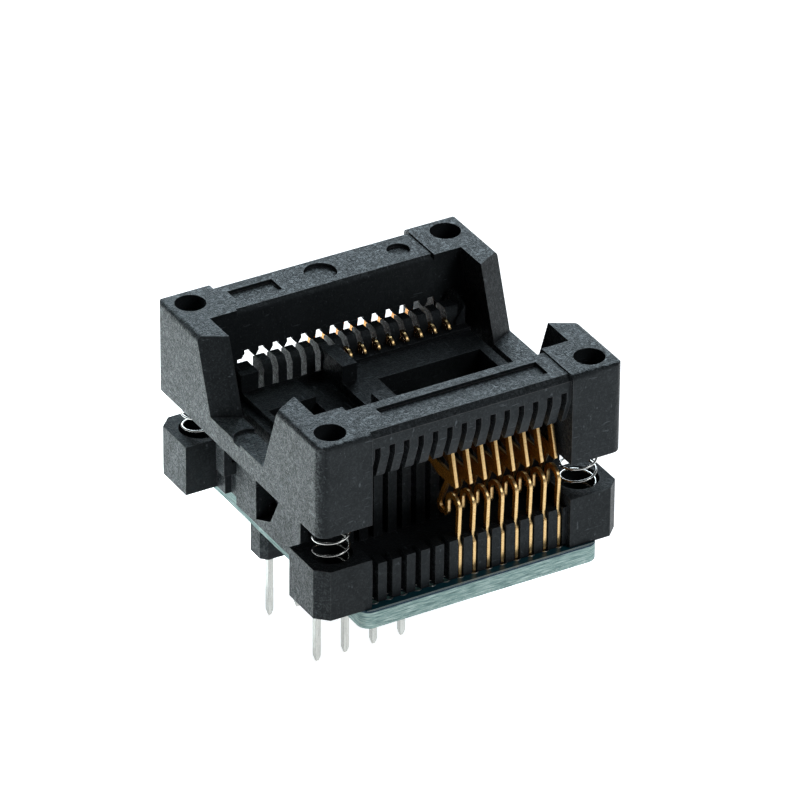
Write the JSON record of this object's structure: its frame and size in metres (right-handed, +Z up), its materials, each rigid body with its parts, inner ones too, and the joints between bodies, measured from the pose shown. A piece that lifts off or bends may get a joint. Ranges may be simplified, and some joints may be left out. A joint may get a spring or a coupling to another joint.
{
  "type": "ic socket adapter",
  "caption": "Open-top test socket on a plug-in adapter board: pressing the sprung cover swings the contact rows open so a small-outline chip drops in.",
  "frame": {"origin": "centre of the plug pin grid, on the underside of the header strips, which is the seating plane", "axes": "+Z up through the socket; +X along the contact rows, from the plug pins' end to the chip's end; +Y from the front contact row to the rear one"},
  "size_m": [0.027, 0.0268, 0.0257],
  "materials": {
    "base_plastic": "matte",
    "cover_plastic": "fine grain",
    "contact_gold": "gold plated",
    "spring_wire": "bright wire",
    "board": "solder mask",
    "header_plastic": "matte",
    "pin_metal": "tin plated",
    "solder": "bright"
  },
  "bodies": {
    "base": {"base": "base_plastic", "spring_front_left": "spring_wire", "spring_front_right": "spring_wire", "spring_rear_left": "spring_wire", "spring_rear_right": "spring_wire", "front_contact_leg_1": "contact_gold", "front_contact_leg_2": "contact_gold", "front_contact_leg_3": "contact_gold", "front_contact_leg_4": "contact_gold", "front_contact_leg_5": "contact_gold", "front_contact_leg_6": "contact_gold", "front_contact_leg_7": "contact_gold", "front_contact_leg_8": "contact_gold", "rear_contact_leg_1": "contact_gold", "rear_contact_leg_2": "contact_gold", "rear_contact_leg_3": "contact_gold", "rear_contact_leg_4": "contact_gold", "rear_contact_leg_5": "contact_gold", "rear_contact_leg_6": "contact_gold", "rear_contact_leg_7": "contact_gold", "rear_contact_leg_8": "contact_gold", "circuit_board": "board", "front_header_strip": "header_plastic", "rear_header_strip": "header_plastic", "front_header_pin_1": "pin_metal", "front_header_pin_2": "pin_metal", "front_header_pin_3": "pin_metal", "front_header_pin_4": "pin_metal", "rear_header_pin_1": "pin_metal", "rear_header_pin_2": "pin_metal", "rear_header_pin_3": "pin_metal", "rear_header_pin_4": "pin_metal", "front_contact_solder": "solder", "rear_contact_solder": "solder", "header_solder": "solder"},
    "cover": {"cover": "cover_plastic"},
    "front_contact_arms": {"front_contact_arm_1": "contact_gold", "front_contact_arm_2": "contact_gold", "front_contact_arm_3": "contact_gold", "front_contact_arm_4": "contact_gold", "front_contact_arm_5": "contact_gold", "front_contact_arm_6": "contact_gold", "front_contact_arm_7": "contact_gold", "front_contact_arm_8": "contact_gold"},
    "rear_contact_arms": {"rear_contact_arm_1": "contact_gold", "rear_contact_arm_2": "contact_gold", "rear_contact_arm_3": "contact_gold", "rear_contact_arm_4": "contact_gold", "rear_contact_arm_5": "contact_gold", "rear_contact_arm_6": "contact_gold", "rear_contact_arm_7": "contact_gold", "rear_contact_arm_8": "contact_gold"}
  },
  "joints": [
    {"name": "cover_slide", "type": "slide", "parent": "base", "child": "cover", "axis": [0, 0, -1], "range_m": [0, 0.0024], "stiffness_N_per_m": 4000, "deforming": ["spring_front_left", "spring_front_right", "spring_rear_left", "spring_rear_right"]},
    {"name": "front_arms_swing", "type": "hinge", "parent": "base", "child": "front_contact_arms", "pos_m": [0.0047, -0.00922, 0.00935], "axis": [1, 0, 0], "range_deg": [0, 9.1]},
    {"name": "rear_arms_swing", "type": "hinge", "parent": "base", "child": "rear_contact_arms", "pos_m": [0.0047, 0.00922, 0.00935], "axis": [-1, 0, 0], "range_deg": [0, 9.1]}
  ],
  "couplings": [
    {"joint": "front_arms_swing", "follows": "cover_slide", "rad_per_m": 65.45},
    {"joint": "rear_arms_swing", "follows": "cover_slide", "rad_per_m": 65.45}
  ]
}
